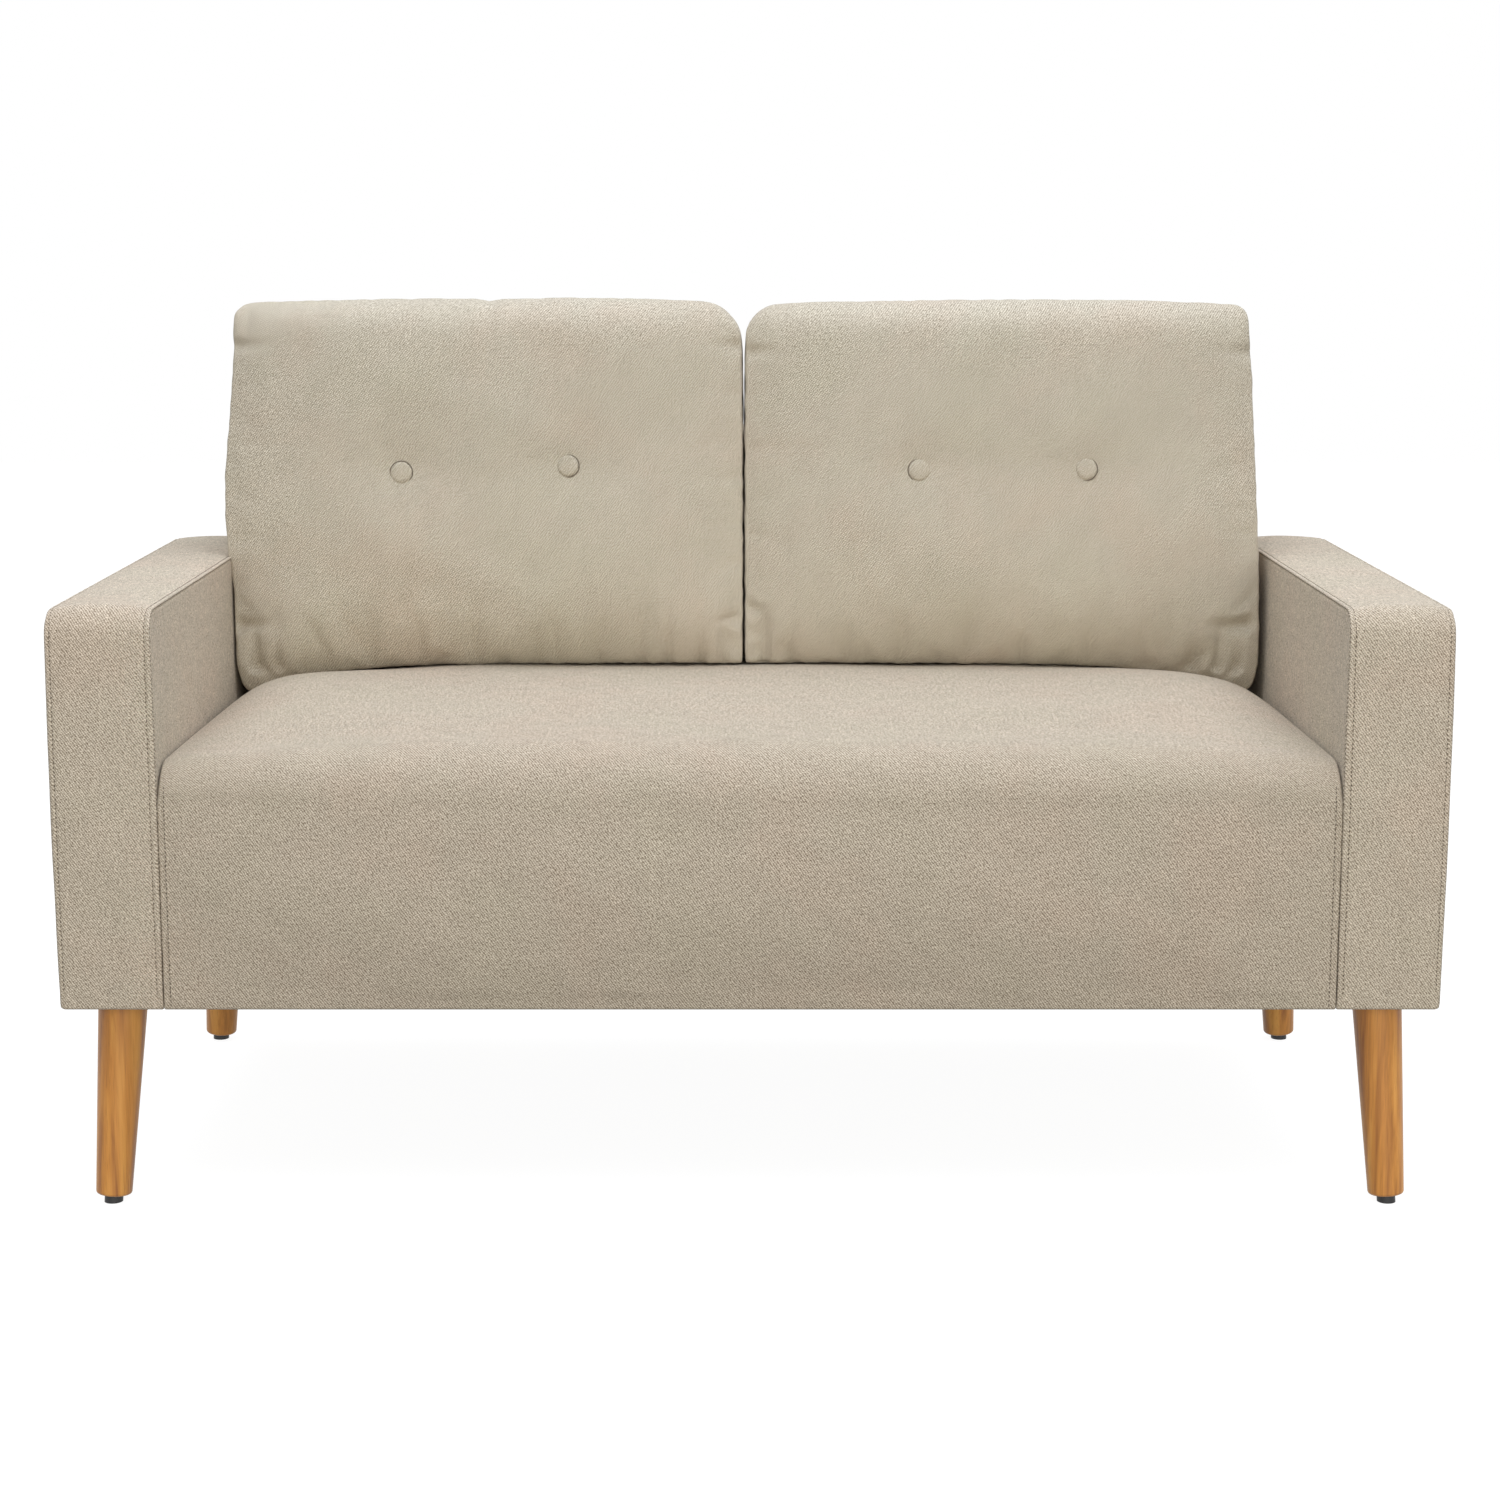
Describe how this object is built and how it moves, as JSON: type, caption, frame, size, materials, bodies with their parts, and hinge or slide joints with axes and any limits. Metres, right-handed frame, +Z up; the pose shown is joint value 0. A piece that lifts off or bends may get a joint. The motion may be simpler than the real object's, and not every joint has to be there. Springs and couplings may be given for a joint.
{
  "type": "high back settee",
  "caption": "High back settee with padded box arms, a tight crowned seat, loose button tufted back cushions and splayed turned oak legs.",
  "frame": {"origin": "on the floor, under the middle of the settee's bounding box", "axes": "+X to the right seen from the front, -Y out of the settee's front, +Z up"},
  "size_m": [1.32, 0.67, 0.8672],
  "materials": {
    "twill": "warm sand cotton twill, brushed",
    "oak": "honey oak, satin lacquer",
    "frame_timber": "planed softwood, unfinished",
    "hardboard": "hardboard, smooth face",
    "foam": "open cell polyurethane foam",
    "fibre": "blown polyester fibre in a liner",
    "felt": "needled felt",
    "webbing": "woven elastic webbing",
    "underlining": "spunbond dust cloth",
    "cord": "waxed button twine",
    "zip_tape": "nylon coil zip on woven tape",
    "trim_plastic": "moulded back button",
    "glide_plastic": "black moulded glide",
    "spring_steel": "oil tempered spring wire",
    "zinc_steel": "zinc plated"
  },
  "bodies": {
    "settee": {"left_arm_front_post": "frame_timber", "left_arm_rear_post": "frame_timber", "left_arm_top_rail": "frame_timber", "left_arm_bottom_rail": "frame_timber", "left_arm_joining_rail": "frame_timber", "left_arm_panels": "hardboard", "left_arm_foam": "foam", "left_arm_cover": "twill", "right_arm_front_post": "frame_timber", "right_arm_rear_post": "frame_timber", "right_arm_top_rail": "frame_timber", "right_arm_bottom_rail": "frame_timber", "right_arm_joining_rail": "frame_timber", "right_arm_panels": "hardboard", "right_arm_foam": "foam", "right_arm_cover": "twill", "seat_front_rail": "frame_timber", "seat_rear_rail": "frame_timber", "seat_left_rail": "frame_timber", "seat_right_rail": "frame_timber", "seat_stretcher": "frame_timber", "seat_corner_blocks": "frame_timber", "seat_springs": "spring_steel", "spring_clips": "zinc_steel", "spring_felt": "felt", "seat_foam": "foam", "seat_cover": "twill", "back_left_post": "frame_timber", "back_right_post": "frame_timber", "back_top_rail": "frame_timber", "back_mid_rail": "frame_timber", "back_base_rail": "frame_timber", "back_webbing": "webbing", "back_foam": "foam", "back_panel": "hardboard", "back_cover": "twill", "dust_covers": "underlining", "front_left_leg": "oak", "front_right_leg": "oak", "rear_left_leg": "oak", "rear_right_leg": "oak", "leg_glides": "glide_plastic", "hanger_bolts": "zinc_steel", "arm_bolts": "zinc_steel", "back_bolts": "zinc_steel", "bolt_washers": "zinc_steel", "t_nuts": "zinc_steel"},
    "left_cushion": {"left_cushion_cover": "twill", "left_cushion_fill": "fibre", "left_cushion_buttons": "twill", "left_cushion_rear_buttons": "trim_plastic", "left_cushion_ties": "cord", "left_cushion_zip": "zip_tape"},
    "right_cushion": {"right_cushion_cover": "twill", "right_cushion_fill": "fibre", "right_cushion_buttons": "twill", "right_cushion_rear_buttons": "trim_plastic", "right_cushion_ties": "cord", "right_cushion_zip": "zip_tape"}
  },
  "joints": [
    {"name": "left_cushion_lift", "type": "slide", "parent": "settee", "child": "left_cushion", "axis": [0, 0, 1], "range_m": [0, 0.45]},
    {"name": "right_cushion_lift", "type": "slide", "parent": "settee", "child": "right_cushion", "axis": [0, 0, 1], "range_m": [0, 0.45]}
  ]
}
